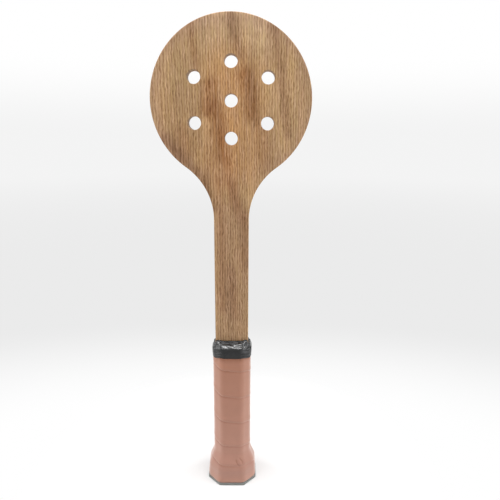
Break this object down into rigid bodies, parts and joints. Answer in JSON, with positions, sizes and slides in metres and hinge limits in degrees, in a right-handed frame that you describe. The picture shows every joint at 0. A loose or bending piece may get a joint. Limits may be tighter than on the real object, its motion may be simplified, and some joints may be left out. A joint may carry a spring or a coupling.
{
  "type": "wooden training paddle",
  "caption": "Round wooden training paddle with holes through its head, a straight shaft and an octagonal handle wrapped in a spiral grip with a flared butt.",
  "frame": {"origin": "middle of the butt's flat end, on which the paddle stands", "axes": "+Z along the paddle from the butt to the head, -Y towards the front hitting face, +X to the right of someone who looks at that face"},
  "size_m": [0.14, 0.0422, 0.45],
  "materials": {
    "oak": "oiled oak with dark pores along the length",
    "beech": "sanded, unfinished",
    "cap_rubber": "matt moulded",
    "staple_steel": "zinc plated",
    "cushion": "foamed cushion strip",
    "salmon_grip": "matt, slightly tacky synthetic strip",
    "black_vinyl": "glossy stretched vinyl tape"
  },
  "bodies": {
    "root": {"blade": "oak", "handle_scale_front": "beech", "handle_scale_back": "beech", "butt_cap": "cap_rubber", "cap_staple_left": "staple_steel", "cap_staple_right": "staple_steel", "base_grip": "cushion", "overgrip": "salmon_grip", "finishing_tape": "black_vinyl"}
  },
  "joints": []
}
